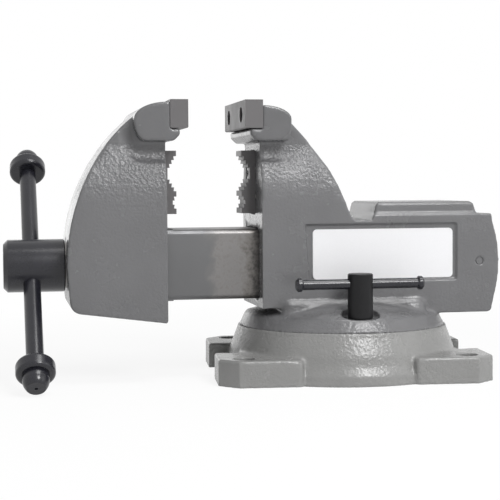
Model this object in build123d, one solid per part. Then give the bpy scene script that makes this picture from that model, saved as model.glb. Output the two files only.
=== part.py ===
from build123d import *
import math
import os

# A bench and pipe vise with a swivel base. Millimetres and degrees.
# X runs along the slide, from the handle end (-X) to the anvil end (+X), Z is up, and the
# origin is on the swivel axis at the underside of the base.

# Jaws
JAW_WIDTH = 101.6
REST_OPENING = 47.6
INSERT_THICKNESS = 15.0
INSERT_HEIGHT = 23.5
INSERT_TOP_Z = 235.0
INSERT_SCREW_SPACING = 60.0
STATIC_FACE_X = -79.0
FRONT_HEAD_TOP_Z = 233.0
REAR_HEAD_TOP_Z = 230.5
HEAD_SHOULDER_Z = 219.0
HEAD_BOTTOM_Z = 201.0
FRONT_HEAD_DEPTH = 27.3
REAR_HEAD_DEPTH = 24.5
FRONT_LOW_SHARE = 0.65
REAR_LOW_SHARE = 0.86
FRONT_SEAT_STEP = 2.3
REAR_SEAT_STEP = 0.0
LIP_REACH = 10.6
LIP_CORNER = 5.0
SEAT_GAP = 0.6
INSERT_EDGE = 0.8
CLOSED_GAP = 0.4

# Castings
BODY_WIDTH = 90.0
SHOULDER_Z = 150.0
NECK_Z = 190.0
NECK_WIDTH = 77.0
CROWN_WIDTH = 72.0
GROOVE_WIDTH = 71.0
GROOVE_REACH = 19.0
GROOVE_RADIUS = 9.0
NECK_SWELL_Y = 1.0
NECK_SWELL_Z = 3.0

# Front jaw back, an ellipse about a point on the screw axis
FRONT_JAW_LENGTH = 82.9
BACK_ELLIPSE_X = 127.0
BACK_ELLIPSE_Z = 150.0
FRONT_JAW_BOTTOM_Z = 49.5
FRONT_HEEL_Z = 60.0
HEEL_RADIUS = 10.0
HEEL_DRAFT = 2.5
TOE_RADIUS = 2.0

# Slide beam and its tunnel
SCREW_AXIS_Z = 97.3
BEAM_HEIGHT = 59.6
BEAM_WIDTH = 56.0
BEAM_EDGE = 4.5
BEAM_END_X = 57.0
BEAM_BORE = 41.0
BEAM_BORE_EDGE = 9.0
SLIDE_CLEARANCE = 0.3
BEAM_COLLAR_LENGTH = 6.8
BEAM_COLLAR_RISE = 0.8

# Body and anvil
BODY_REAR_X = 127.5
REAR_CROWN = 5.5
BODY_BOTTOM_Z = 52.8
BODY_FRONT_BOTTOM_Z = 60.0
BODY_SHOULDER_Z = 138.4
REAR_CORNER = 5.0
REAR_TAPER = 3.0
REAR_WALL = 6.5
SMALL_CORNER = 1.5
PLINTH_LENGTH = 126.0
PLINTH_WIDTH = 101.0
PLINTH_TOP_Z = 66.0
PLINTH_EDGE = 4.0
PLINTH_CORNER = 6.0
NOTCH_BOTTOM_Z = 133.3
NOTCH_CORNER = 6.0
ANVIL_START_X = 17.5
ANVIL_LENGTH = 89.0
ANVIL_TOP_Z = 149.0
ANVIL_WIDTH = 85.0
ANVIL_DRAFT = 3.5
ANVIL_EDGE = 2.0
ANVIL_FOOT_RUN = 1.5
JAW_FOOT_X = -4.5
JAW_FOOT_Z = 143.4
JAW_FOOT_RUN = 4.0
JAW_BACK_BULGE = 4.6

# Label recess
PLATE_LENGTH = 123.5
PLATE_HEIGHT = 42.4
PLATE_THICKNESS = 0.8
PLATE_CORNER = 3.5
PLATE_CENTRE_X = 26.3
PLATE_CENTRE_Z = 105.0
RECESS_MARGIN_X = 3.4
RECESS_MARGIN_TOP = 4.2
RECESS_MARGIN_BOTTOM = 2.0
RECESS_DEPTH = 2.6
RECESS_SLANT = 3.5

# Swivel
SEAM_Z = 42.0
SEAM_STEP = 1.0
FLANGE_DRAFT = 5.5
FLANGE_RIM_Z = 53.5
FLANGE_CROWN_DROP = 34.0
FLANGE_CROWN_Z = 62.0
SPIGOT_RADIUS = 20.0
SPIGOT_LENGTH = 26.0
SPIGOT_EDGE = 1.0
TURNING_CLEARANCE = 0.06

# Base
BASE_TURN = -5.0
BASE_FOOT_RADIUS = 104.0
FOOT_HEIGHT = 8.0
FOOT_DRAFT = 1.0
ANKLE_Z = 16.0
ANKLE_DRAFT = 1.5
WAIST_DROP = 6.0
BASE_WAIST_Z = 24.0
BASE_TOP_DROP = 13.0
LUG_REACH_X = 11.0
LUG_SET_IN_Y = 8.0
LUG_HEIGHT = 22.0
LUG_LENGTH = 69.0
LUG_WIDTH = 62.0
LUG_CHAMFER = 16.0
LUG_INNER_RADIUS = 4.0
LUG_EDGE = 2.0
BOLT_INSET_X = 22.0
BOLT_INSET_Y = 18.0
BOLT_HOLE_RADIUS = 8.75
UNDERCUT_DEPTH = 9.0
UNDERCUT_INNER_RADIUS = 34.0
UNDERCUT_WALL = 16.0
RIB_COUNT = 6
RIB_THICKNESS = 9.0

# Swivel lock
LOCK_INSET = 18.0
LOCK_OFFSET_X = -2.0
LOCK_SHANK_RADIUS = 5.5
LOCK_SHANK_STOP = 2.0
LOCK_HEAD_RADIUS = 10.5
LOCK_HEAD_HEIGHT = 37.4
LOCK_HEAD_EDGE = 0.8
LOCK_PAD_Z = 52.8
LOCK_PAD_RADIUS = 15.5
LOCK_PAD_CUT = 20.0
LOCK_BAR_RADIUS = 4.25
LOCK_BAR_LENGTH = 108.7
LOCK_BAR_DROP = 8.6
LOCK_BEAD_RADIUS = 5.75
LOCK_BEAD_LENGTH = 5.5
LOCK_BEAD_EDGE = 1.5
T_SLOT_WIDTH = 17.0
T_SLOT_ROOM = 27.0
T_SLOT_ROOF_Z = 31.5
T_SLOT_FLOOR_Z = 20.0
T_NUT_CLEARANCE = 0.5
T_NUT_ANGLE = 17.0
T_NUT_TOP_DROP = 1.5

# Screw and handle
SCREW_RADIUS = 11.0
HUB_RADIUS = 22.3
HUB_LENGTH = 51.2
HUB_CHAMFER = 3.5
HUB_EDGE = 1.0
TIP_CHAMFER = 2.0
TIP_STOP = 2.0
WASHER_RADIUS = 19.5
WASHER_THICKNESS = 2.0
AXIAL_PLAY = 0.1
BOSS_CUT = 2.2
BOSS_RADIUS = 25.0
SCREW_WALL = 18.5
COLLAR_RADIUS = 16.0
COLLAR_LENGTH = 12.0
COLLAR_EDGE = 0.8
COLLAR_PIN_RADIUS = 2.5
COLLAR_PIN_SINK = 0.2
HANDLE_HOLE_FROM_END = 23.4
HANDLE_TILT = 46.5
HANDLE_BAR_RADIUS = 7.15
HANDLE_LENGTH = 269.0
HANDLE_SHIFT = 3.0
KNOB_COLLAR_RADIUS = 15.9
KNOB_COLLAR_LENGTH = 13.0
KNOB_DOME_RADIUS = 10.9
KNOB_END_RADIUS = 7.7
KNOB_DOME_LENGTH = 12.0
KNOB_EDGE = 3.5
KNOB_DOME_RISE = 3.0
KNOB_SWELL_RISE = 8.0
KNOB_SWELL_DROP = 0.9
KNOB_PEG_DROP = 2.0
KNOB_PEG_STOP = 2.0
CENTRE_MARK_RADIUS = 1.4
CENTRE_MARK_DEPTH = 1.0

# Nut
NUT_RADIUS = 18.0
NUT_FRONT_X = -75.0
NUT_SOCKET_DEPTH = 20.5
NUT_THREAD_LENGTH = 70.0
NUT_RELIEF = 1.2
NUT_EDGE = 1.0
NUT_BORE_STOP = 0.5
CROSS_PIN_RADIUS = 3.2
CROSS_PIN_BACK = 6.0
CROSS_PIN_SINK = 0.4
CROSS_PIN_EDGE = 0.5

# Pipe jaws
PIPE_JAW_WIDTH = 25.4
PIPE_JAW_TOP_Z = 193.7
PIPE_JAW_PROUD = 11.8
PIPE_JAW_SINK = 8.0
LAND_HEIGHT = 4.6
TREAD_HEIGHT = 3.3
TREAD_SLANT = 0.5
BIG_V_STEPS = 3
BIG_V_RISE = 1.85
BIG_V_FLAT = 10.0
SMALL_V_STEPS = 1
SMALL_V_RISE = 1.55
SMALL_V_FLAT = 3.6

# Cap screws
CAP_SCREW_RADIUS = 4.0
CAP_HEAD_RADIUS = 6.4
CAP_HEAD_HEIGHT = 7.5
CAP_HEAD_SINK = 9.0
CAP_SCREW_LENGTH = 22.0
TAP_ALLOWANCE = 2.0
PIPE_SCREW_SINK = 0.5
HEX_SOCKET_FLATS = 6.0
HEX_SOCKET_DEPTH = 4.0
SCREW_CLEARANCE = 0.15
FIT_GAP = 0.1
PRESS_GAP = 0.02

# How far a cutting shape runs past the face that it cuts, and a rounded corner's middle point
OVERRUN = 1.0
ARC_MIDDLE = 1.0 - math.sqrt(0.5)

# Worked out from the sizes above
half_jaw = JAW_WIDTH / 2
half_body = BODY_WIDTH / 2
rear_insert_face_x = STATIC_FACE_X - REAR_SEAT_STEP - INSERT_THICKNESS
front_insert_face_x = rear_insert_face_x - REST_OPENING
front_seat_x = front_insert_face_x - INSERT_THICKNESS
front_face_x = front_seat_x - FRONT_SEAT_STEP
rear_seat_x = STATIC_FACE_X - REAR_SEAT_STEP
front_back_x = front_face_x - FRONT_JAW_LENGTH
insert_bottom_z = INSERT_TOP_Z - INSERT_HEIGHT
body_end_x = BODY_REAR_X + REAR_CROWN
nut_end_x = body_end_x - REAR_WALL
tunnel_end_x = nut_end_x - NUT_SOCKET_DEPTH
boss_face_x = front_back_x + BOSS_CUT
hub_face_x = boss_face_x - AXIAL_PLAY - WASHER_THICKNESS
hub_end_x = hub_face_x - HUB_LENGTH
handle_x = hub_end_x + HANDLE_HOLE_FROM_END
screw_wall_x = boss_face_x + SCREW_WALL
closed_travel = REST_OPENING - CLOSED_GAP
cross_pin_x = tunnel_end_x + CROSS_PIN_BACK
screw_tip_x = cross_pin_x - CROSS_PIN_RADIUS - closed_travel - TIP_STOP
big_v_depth = (BIG_V_STEPS + 1) * BIG_V_RISE
pipe_jaw_height = (
    3 * LAND_HEIGHT
    + 2 * (BIG_V_STEPS + SMALL_V_STEPS) * TREAD_HEIGHT
    + BIG_V_FLAT
    + SMALL_V_FLAT
)
pipe_screw_z = PIPE_JAW_TOP_Z - LAND_HEIGHT - BIG_V_STEPS * TREAD_HEIGHT - BIG_V_FLAT / 2
insert_middle_z = (INSERT_TOP_Z + insert_bottom_z) / 2
pipe_head_depth = CAP_HEAD_HEIGHT + PIPE_SCREW_SINK
pipe_tap_depth = CAP_SCREW_LENGTH + pipe_head_depth + TAP_ALLOWANCE - PIPE_JAW_PROUD + big_v_depth
waist_radius = BASE_FOOT_RADIUS - WAIST_DROP
base_top_radius = BASE_FOOT_RADIUS - BASE_TOP_DROP
flange_radius = base_top_radius - SEAM_STEP
lock_radius = flange_radius - LOCK_INSET
lock_top_z = LOCK_PAD_Z + LOCK_HEAD_HEIGHT
lock_bar_z = lock_top_z - LOCK_BAR_DROP
undercut_outer_radius = BASE_FOOT_RADIUS - UNDERCUT_WALL
base_length = 2 * (BASE_FOOT_RADIUS + LUG_REACH_X)
base_width = 2 * (BASE_FOOT_RADIUS - LUG_SET_IN_Y)
collar_x = screw_wall_x + AXIAL_PLAY
collar_pin_x = collar_x + COLLAR_LENGTH / 2
knob_seat = HANDLE_LENGTH / 2 - KNOB_COLLAR_LENGTH - KNOB_DOME_LENGTH
knob_peg = KNOB_COLLAR_LENGTH - KNOB_PEG_STOP
knob_peg_radius = HANDLE_BAR_RADIUS - KNOB_PEG_DROP


def side_slab(edges, width, middle_y=0.0):
    """A solid whose outline is drawn in X and Z, as wide as width, about middle_y."""
    face = Plane.XZ * make_face(edges)
    return Pos(0, middle_y, 0) * extrude(face, amount=width / 2, both=True)


def rod_x(radius, start_x, end_x, y=0.0, z=SCREW_AXIS_Z):
    """A cylinder along X from start_x to end_x."""
    middle = Pos((start_x + end_x) / 2, y, z)
    return middle * Rot(0, 90, 0) * Cylinder(radius, abs(end_x - start_x))


def rod_z(radius, low_z, high_z, x=0.0, y=0.0):
    """A cylinder along Z from low_z to high_z."""
    return Pos(x, y, (low_z + high_z) / 2) * Cylinder(radius, high_z - low_z)


def turned(points):
    """A solid of revolution about Z, from points of radius and height."""
    return revolve(Plane.XZ * make_face(Polyline(*points, close=True)), Axis.Z)


def rounded_bar_x(start_x, end_x, width, height, edge, z=SCREW_AXIS_Z):
    """A bar along X with a rounded rectangular section."""
    section = Plane.YZ * RectangleRounded(width, height, edge)
    return Pos(start_x, 0, z) * extrude(section, amount=end_x - start_x)


# ---------------------------------------------------------------- shared jaw forms

# Face, direction of the back along X, depth, top and share of the depth that is flat below
front_head = (front_face_x, -1, FRONT_HEAD_DEPTH, FRONT_HEAD_TOP_Z, FRONT_LOW_SHARE)
rear_head = (STATIC_FACE_X, 1, REAR_HEAD_DEPTH, REAR_HEAD_TOP_Z, REAR_LOW_SHARE)

def head_outline(head, seat_step):
    """The side outline of a jaw head with the lip under its insert, which sits seat_step in front."""
    face_x, back, depth, top_z, low_share = head
    rear_x = face_x + back * depth
    low_x = face_x + back * depth * low_share
    lip_x = face_x - back * LIP_REACH
    seat_x = face_x - back * seat_step
    lip_top_z = insert_bottom_z - SEAT_GAP
    rise = top_z - HEAD_SHOULDER_Z
    drop = HEAD_SHOULDER_Z - HEAD_BOTTOM_Z
    if back > 0:
        top = EllipticalCenterArc((face_x, HEAD_SHOULDER_Z), depth, rise, 0, arc_size=90)
        low = EllipticalCenterArc((low_x, HEAD_SHOULDER_Z), rear_x - low_x, drop, -90, arc_size=90)
    else:
        top = EllipticalCenterArc((face_x, HEAD_SHOULDER_Z), depth, rise, 90, arc_size=90)
        low = EllipticalCenterArc((low_x, HEAD_SHOULDER_Z), low_x - rear_x, drop, 180, arc_size=90)
    points = [
        (low_x, HEAD_BOTTOM_Z),
        (lip_x + back * LIP_CORNER, HEAD_BOTTOM_Z),
        (lip_x, HEAD_BOTTOM_Z + LIP_CORNER),
    ]
    if seat_step < LIP_REACH:
        points += [(lip_x, lip_top_z), (seat_x, lip_top_z)]
    points.append((seat_x, top_z))
    if seat_step > 0:
        points.append((face_x, top_z))
    return [top, low, Polyline(*points)]


def width_prism(start_x, end_x, low_z):
    """The front view of a casting: full width below, drawn in towards the neck."""
    top_z = FRONT_HEAD_TOP_Z + OVERRUN
    half_neck = NECK_WIDTH / 2
    half_crown = CROWN_WIDTH / 2
    right = Spline(
        (half_body, SHOULDER_Z),
        ((half_body + half_neck) / 2 + NECK_SWELL_Y, (SHOULDER_Z + NECK_Z) / 2 + NECK_SWELL_Z),
        (half_neck, NECK_Z),
        (half_crown, top_z),
        tangents=((0, 1), (0, 1)),
    )
    left = mirror(right, about=Plane.YZ)
    ends = [
        Line((half_crown, top_z), (-half_crown, top_z)),
        Polyline((-half_body, SHOULDER_Z), (-half_body, low_z), (half_body, low_z), (half_body, SHOULDER_Z)),
    ]
    face = Plane.YZ * make_face([right, left] + ends)
    return Pos(start_x, 0, 0) * extrude(face, amount=end_x - start_x)


def head_groove(head):
    """The scooped recess round a jaw head's cheeks, on both sides, as a tool to cut with."""
    outline = make_face(head_outline(head, LIP_REACH))
    scoop = extrude(Plane.XZ * offset(outline, amount=GROOVE_REACH, kind=Kind.ARC), amount=half_jaw)
    floor = scoop.faces().sort_by(Axis.Y)[-1]
    near = Pos(0, -GROOVE_WIDTH / 2, 0) * fillet(floor.edges(), GROOVE_RADIUS)
    return near + mirror(near, about=Plane.XZ)


def jaw_head(head, seat_step):
    """The head of a jaw, a slab as wide as the insert."""
    return side_slab(head_outline(head, seat_step), JAW_WIDTH)


def insert_screw_holes(seat_x, back):
    """Tapped holes behind an insert, as a tool to cut with."""
    depth = CAP_SCREW_LENGTH - (INSERT_THICKNESS - CAP_HEAD_SINK) + TAP_ALLOWANCE
    cut = None
    for side in (-1, 1):
        hole = rod_x(
            CAP_SCREW_RADIUS + FIT_GAP,
            seat_x - back * OVERRUN,
            seat_x + back * depth,
            side * INSERT_SCREW_SPACING / 2,
            insert_middle_z,
        )
        cut = hole if cut is None else cut + hole
    return cut


def jaw_insert(seat_x, back):
    """A hardened jaw plate with two counterbored holes."""
    front_x = seat_x - back * INSERT_THICKNESS
    plate = Pos((seat_x + front_x) / 2, 0, insert_middle_z) * Box(INSERT_THICKNESS, JAW_WIDTH, INSERT_HEIGHT)
    plate = chamfer(plate.edges().filter_by(Axis.Y).group_by(Axis.Z)[0], INSERT_EDGE)
    for side in (-1, 1):
        y = side * INSERT_SCREW_SPACING / 2
        plate -= rod_x(CAP_SCREW_RADIUS + SCREW_CLEARANCE, front_x, seat_x, y, insert_middle_z)
        plate -= rod_x(CAP_HEAD_RADIUS + SCREW_CLEARANCE, front_x, front_x + back * CAP_HEAD_SINK, y, insert_middle_z)
    return plate


def cap_screw(seat_x, back, y, z):
    """A socket-head cap screw along X whose head sits on seat_x and whose shank runs towards back."""
    head_x = seat_x - back * CAP_HEAD_HEIGHT
    screw = rod_x(CAP_HEAD_RADIUS, head_x, seat_x, y, z)
    screw += rod_x(CAP_SCREW_RADIUS, seat_x, seat_x + back * CAP_SCREW_LENGTH, y, z)
    socket = extrude(Plane.YZ * RegularPolygon(HEX_SOCKET_FLATS / 2, 6, major_radius=False), amount=HEX_SOCKET_DEPTH)
    shift = 0.0 if back > 0 else -HEX_SOCKET_DEPTH
    return screw - Pos(head_x + shift, y, z) * socket


def insert_screws(plate_x, back):
    """The two screws of one insert."""
    seat_x = plate_x - back * (INSERT_THICKNESS - CAP_HEAD_SINK)
    return Compound(
        [cap_screw(seat_x, back, side * INSERT_SCREW_SPACING / 2, insert_middle_z) for side in (-1, 1)]
    )


def pipe_jaw(face_x, back):
    """A toothed pipe jaw: a big and a small V cut in steps, across the width of the jaw."""
    front_x = face_x - back * PIPE_JAW_PROUD
    rear_x = face_x + back * PIPE_JAW_SINK
    z = PIPE_JAW_TOP_Z
    points = [(rear_x, z), (front_x, z)]
    z -= LAND_HEIGHT
    points.append((front_x, z))
    for steps, rise, flat in (
        (BIG_V_STEPS, BIG_V_RISE, BIG_V_FLAT),
        (SMALL_V_STEPS, SMALL_V_RISE, SMALL_V_FLAT),
    ):
        for step in range(1, steps + 1):
            points.append((front_x + back * (step * rise + TREAD_SLANT), z))
            z -= TREAD_HEIGHT
            points.append((front_x + back * step * rise, z))
        points.append((front_x + back * (steps + 1) * rise, z))
        z -= flat
        points.append((front_x + back * (steps + 1) * rise, z))
        for step in range(steps, 0, -1):
            points.append((front_x + back * step * rise, z))
            z -= TREAD_HEIGHT
            points.append((front_x + back * (step * rise + TREAD_SLANT), z))
        points.append((front_x, z))
        z -= LAND_HEIGHT
        points.append((front_x, z))
    points.append((rear_x, z))
    jaw = side_slab(Polyline(*points, close=True), PIPE_JAW_WIDTH)
    flat_x = front_x + back * big_v_depth
    head = rod_x(
        CAP_HEAD_RADIUS + SCREW_CLEARANCE, flat_x - back, flat_x + back * pipe_head_depth, 0, pipe_screw_z
    )
    shank = rod_x(CAP_SCREW_RADIUS + SCREW_CLEARANCE, flat_x, rear_x, 0, pipe_screw_z)
    return jaw - head - shank


def pipe_jaw_screw(face_x, back):
    """The screw that holds one pipe jaw, sunk in the flat of its big V."""
    flat_x = face_x - back * (PIPE_JAW_PROUD - big_v_depth)
    return cap_screw(flat_x + back * pipe_head_depth, back, 0, pipe_screw_z)


def pipe_jaw_pocket(face_x, back):
    """The slot in a casting that a pipe jaw and its screw sit in, as a tool to cut with."""
    rear_x = face_x + back * PIPE_JAW_SINK
    front_x = face_x - back * OVERRUN
    middle = Pos((rear_x + front_x) / 2, 0, PIPE_JAW_TOP_Z - pipe_jaw_height / 2)
    pocket = middle * Box(
        abs(rear_x - front_x), PIPE_JAW_WIDTH + 2 * FIT_GAP, pipe_jaw_height + 2 * FIT_GAP
    )
    return pocket + rod_x(CAP_SCREW_RADIUS + FIT_GAP, rear_x, face_x + back * pipe_tap_depth, 0, pipe_screw_z)


# ---------------------------------------------------------------- front jaw with its beam


def front_jaw():
    """The moving jaw casting with the hollow beam that slides in the body."""
    ellipse_x = front_back_x + BACK_ELLIPSE_X
    head_rear_x = front_face_x - FRONT_HEAD_DEPTH
    arc_angle = math.degrees(math.acos((ellipse_x - head_rear_x) / BACK_ELLIPSE_X))
    meet_z = SCREW_AXIS_Z + BACK_ELLIPSE_Z * math.sin(math.radians(arc_angle))
    back = EllipticalCenterArc(
        (ellipse_x, SCREW_AXIS_Z), BACK_ELLIPSE_X, BACK_ELLIPSE_Z, 180, arc_size=-arc_angle
    )
    rest = FilletPolyline(
        (head_rear_x, meet_z),
        (front_face_x, meet_z),
        (front_face_x, FRONT_JAW_BOTTOM_Z),
        (front_back_x + HEEL_DRAFT, FRONT_HEEL_Z),
        (front_back_x, SCREW_AXIS_Z),
        radius=[0, TOE_RADIUS, HEEL_RADIUS],
    )
    core = side_slab([back, rest], BODY_WIDTH)
    core = core & width_prism(front_back_x - OVERRUN, front_face_x + OVERRUN, FRONT_JAW_BOTTOM_Z - OVERRUN)
    jaw = core - head_groove(front_head)
    jaw += jaw_head(front_head, FRONT_SEAT_STEP)
    jaw += rounded_bar_x(screw_wall_x, BEAM_END_X, BEAM_WIDTH, BEAM_HEIGHT, BEAM_EDGE)
    jaw += rounded_bar_x(
        front_face_x,
        front_face_x + BEAM_COLLAR_LENGTH,
        BEAM_WIDTH + 2 * BEAM_COLLAR_RISE,
        BEAM_HEIGHT + 2 * BEAM_COLLAR_RISE,
        BEAM_EDGE + BEAM_COLLAR_RISE,
    )
    jaw -= rounded_bar_x(screw_wall_x, BEAM_END_X + OVERRUN, BEAM_BORE, BEAM_BORE, BEAM_BORE_EDGE)
    jaw -= rod_x(BOSS_RADIUS, front_back_x - OVERRUN, boss_face_x)
    jaw -= rod_x(SCREW_RADIUS + TURNING_CLEARANCE, boss_face_x - OVERRUN, screw_wall_x + OVERRUN)
    jaw -= pipe_jaw_pocket(front_face_x, -1)
    return jaw - insert_screw_holes(front_seat_x, -1)


# ---------------------------------------------------------------- body with anvil and swivel flange


def body_side():
    """The side outline of the body: jaw back, notch, anvil shoulder and crowned rear end."""
    head_rear_x = STATIC_FACE_X + REAR_HEAD_DEPTH
    meet_z = HEAD_SHOULDER_Z
    jaw_back = SagittaArc((head_rear_x, meet_z), (JAW_FOOT_X, JAW_FOOT_Z), -JAW_BACK_BULGE)
    top = FilletPolyline(
        (JAW_FOOT_X, JAW_FOOT_Z),
        (JAW_FOOT_X + JAW_FOOT_RUN, NOTCH_BOTTOM_Z),
        (ANVIL_START_X - ANVIL_FOOT_RUN, NOTCH_BOTTOM_Z),
        (ANVIL_START_X, BODY_SHOULDER_Z),
        (BODY_REAR_X - REAR_CORNER, BODY_SHOULDER_Z),
        radius=[NOTCH_CORNER, SMALL_CORNER, SMALL_CORNER],
    )
    corner_top = (BODY_REAR_X, BODY_SHOULDER_Z - REAR_CORNER)
    low_rear_x = BODY_REAR_X - REAR_TAPER
    corner_low = (low_rear_x, BODY_BOTTOM_Z + REAR_CORNER)
    middle = REAR_CORNER * ARC_MIDDLE
    top_corner = ThreePointArc(
        (BODY_REAR_X - REAR_CORNER, BODY_SHOULDER_Z),
        (BODY_REAR_X - middle, BODY_SHOULDER_Z - middle),
        corner_top,
    )
    rear = ThreePointArc(corner_top, (body_end_x, SCREW_AXIS_Z), corner_low)
    low_corner = ThreePointArc(
        corner_low,
        (low_rear_x - middle, BODY_BOTTOM_Z + middle),
        (low_rear_x - REAR_CORNER, BODY_BOTTOM_Z),
    )
    rest = Polyline(
        (low_rear_x - REAR_CORNER, BODY_BOTTOM_Z),
        (-PLINTH_LENGTH / 2, BODY_BOTTOM_Z),
        (-PLINTH_LENGTH / 2, BODY_FRONT_BOTTOM_Z),
        (STATIC_FACE_X, BODY_FRONT_BOTTOM_Z),
        (STATIC_FACE_X, meet_z),
        (head_rear_x, meet_z),
    )
    return [jaw_back, top, top_corner, rear, low_corner, rest]


def anvil():
    """The flat-topped anvil block, with drafted ends and chamfered edges."""
    end_x = ANVIL_START_X + ANVIL_LENGTH
    outline = Polyline(
        (ANVIL_START_X, NOTCH_BOTTOM_Z),
        (ANVIL_START_X + ANVIL_DRAFT, ANVIL_TOP_Z),
        (end_x, ANVIL_TOP_Z),
        (end_x + ANVIL_DRAFT, BODY_SHOULDER_Z),
        (end_x + ANVIL_DRAFT, NOTCH_BOTTOM_Z),
        close=True,
    )
    block = side_slab(outline, ANVIL_WIDTH)
    top = block.faces().sort_by(Axis.Z)[-1]
    return chamfer(top.edges(), ANVIL_EDGE)


def flange():
    """The round swivel flange with its locating spigot."""
    return turned(
        [
            (0, SEAM_Z - SPIGOT_LENGTH),
            (SPIGOT_RADIUS - SPIGOT_EDGE, SEAM_Z - SPIGOT_LENGTH),
            (SPIGOT_RADIUS, SEAM_Z - SPIGOT_LENGTH + SPIGOT_EDGE),
            (SPIGOT_RADIUS, SEAM_Z),
            (flange_radius, SEAM_Z),
            (flange_radius - FLANGE_DRAFT, FLANGE_RIM_Z),
            (flange_radius - FLANGE_CROWN_DROP, FLANGE_CROWN_Z),
            (0, FLANGE_CROWN_Z),
        ]
    )


def plinth():
    """The block between the body and the flange, wider than the body."""
    block = Pos(0, 0, (BODY_BOTTOM_Z + PLINTH_TOP_Z) / 2) * Box(PLINTH_LENGTH, PLINTH_WIDTH, PLINTH_TOP_Z - BODY_BOTTOM_Z)
    block = fillet(block.edges().filter_by(Axis.Z), PLINTH_CORNER)
    return chamfer(block.faces().sort_by(Axis.Z)[-1].edges(), PLINTH_EDGE)


def label_recess():
    """The shallow recess in the near side that holds the plate, as a tool to cut with."""
    low_x = PLATE_CENTRE_X - PLATE_LENGTH / 2 - RECESS_MARGIN_X
    high_x = PLATE_CENTRE_X + PLATE_LENGTH / 2 + RECESS_MARGIN_X
    low_z = PLATE_CENTRE_Z - PLATE_HEIGHT / 2 - RECESS_MARGIN_BOTTOM
    high_z = PLATE_CENTRE_Z + PLATE_HEIGHT / 2 + RECESS_MARGIN_TOP
    outline = Polyline(
        (low_x, low_z), (high_x, low_z), (high_x, high_z), (low_x - RECESS_SLANT, high_z), close=True
    )
    return side_slab(outline, RECESS_DEPTH * 2, -half_body)


def lock_places():
    """Where the two lock bolts stand, near side first."""
    return ((LOCK_OFFSET_X, -lock_radius), (LOCK_OFFSET_X, lock_radius))


def static_jaw():
    """The body casting: rear jaw, beam tunnel, anvil and swivel flange."""
    body = side_slab(body_side(), BODY_WIDTH)
    body = body & width_prism(STATIC_FACE_X - OVERRUN, body_end_x + OVERRUN, BODY_BOTTOM_Z - OVERRUN)
    body += anvil()
    body -= head_groove(rear_head)
    body += jaw_head(rear_head, REAR_SEAT_STEP)
    body += flange() + plinth()
    tunnel_width = BEAM_WIDTH + 2 * SLIDE_CLEARANCE
    tunnel_height = BEAM_HEIGHT + 2 * SLIDE_CLEARANCE
    tunnel_edge = BEAM_EDGE + SLIDE_CLEARANCE
    body -= rounded_bar_x(STATIC_FACE_X - OVERRUN, tunnel_end_x, tunnel_width, tunnel_height, tunnel_edge)
    body -= rod_x(NUT_RADIUS + FIT_GAP, tunnel_end_x - OVERRUN, nut_end_x)
    body -= cross_pin_rod(CROSS_PIN_RADIUS + PRESS_GAP, BODY_WIDTH + OVERRUN)
    for x, y in lock_places():
        body -= rod_z(LOCK_PAD_RADIUS, LOCK_PAD_Z, LOCK_PAD_Z + LOCK_PAD_CUT, x, y)
        body -= rod_z(LOCK_SHANK_RADIUS + TURNING_CLEARANCE, SEAM_Z - OVERRUN, LOCK_PAD_Z + OVERRUN, x, y)
    body -= label_recess()
    body -= pipe_jaw_pocket(STATIC_FACE_X, 1)
    return body - insert_screw_holes(rear_seat_x, 1)


def label_plate():
    """The bare plate in the recess."""
    face = Plane.XZ * RectangleRounded(PLATE_LENGTH, PLATE_HEIGHT, PLATE_CORNER)
    back_y = -half_body + RECESS_DEPTH
    return Pos(PLATE_CENTRE_X, back_y, PLATE_CENTRE_Z) * extrude(face, amount=PLATE_THICKNESS)


def cross_pin_rod(radius, length):
    """The line of the nut's pin, across the body."""
    return Pos(cross_pin_x, 0, SCREW_AXIS_Z) * Rot(90, 0, 0) * Cylinder(radius, length)


def spindle_nut():
    """The long fixed nut that the beam slides over, pinned in the rear wall."""
    nut = rod_x(NUT_RADIUS, NUT_FRONT_X, nut_end_x)
    nut = chamfer(nut.edges().filter_by(GeomType.CIRCLE), NUT_EDGE)
    thread_end_x = NUT_FRONT_X + NUT_THREAD_LENGTH
    bore_end_x = cross_pin_x - CROSS_PIN_RADIUS - NUT_BORE_STOP
    nut -= rod_x(SCREW_RADIUS + TURNING_CLEARANCE, NUT_FRONT_X - OVERRUN, thread_end_x)
    nut -= rod_x(SCREW_RADIUS + NUT_RELIEF, thread_end_x, bore_end_x)
    return nut - cross_pin_rod(CROSS_PIN_RADIUS + PRESS_GAP, BODY_WIDTH)


def nut_cross_pin():
    """The pin through the body that holds the nut."""
    pin = cross_pin_rod(CROSS_PIN_RADIUS, BODY_WIDTH - 2 * CROSS_PIN_SINK)
    return chamfer(pin.edges().filter_by(GeomType.CIRCLE), CROSS_PIN_EDGE)


def t_slot_ring(clearance, low_z, high_z):
    """The T section of the swivel slot, or of the nuts in it, as a full ring."""
    half_neck = T_SLOT_WIDTH / 2 - clearance
    half_room = T_SLOT_ROOM / 2 - clearance
    roof_z = T_SLOT_ROOF_Z - clearance
    return turned(
        [
            (lock_radius - half_room, low_z),
            (lock_radius + half_room, low_z),
            (lock_radius + half_room, roof_z),
            (lock_radius + half_neck, roof_z),
            (lock_radius + half_neck, high_z),
            (lock_radius - half_neck, high_z),
            (lock_radius - half_neck, roof_z),
            (lock_radius - half_room, roof_z),
        ]
    )


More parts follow.
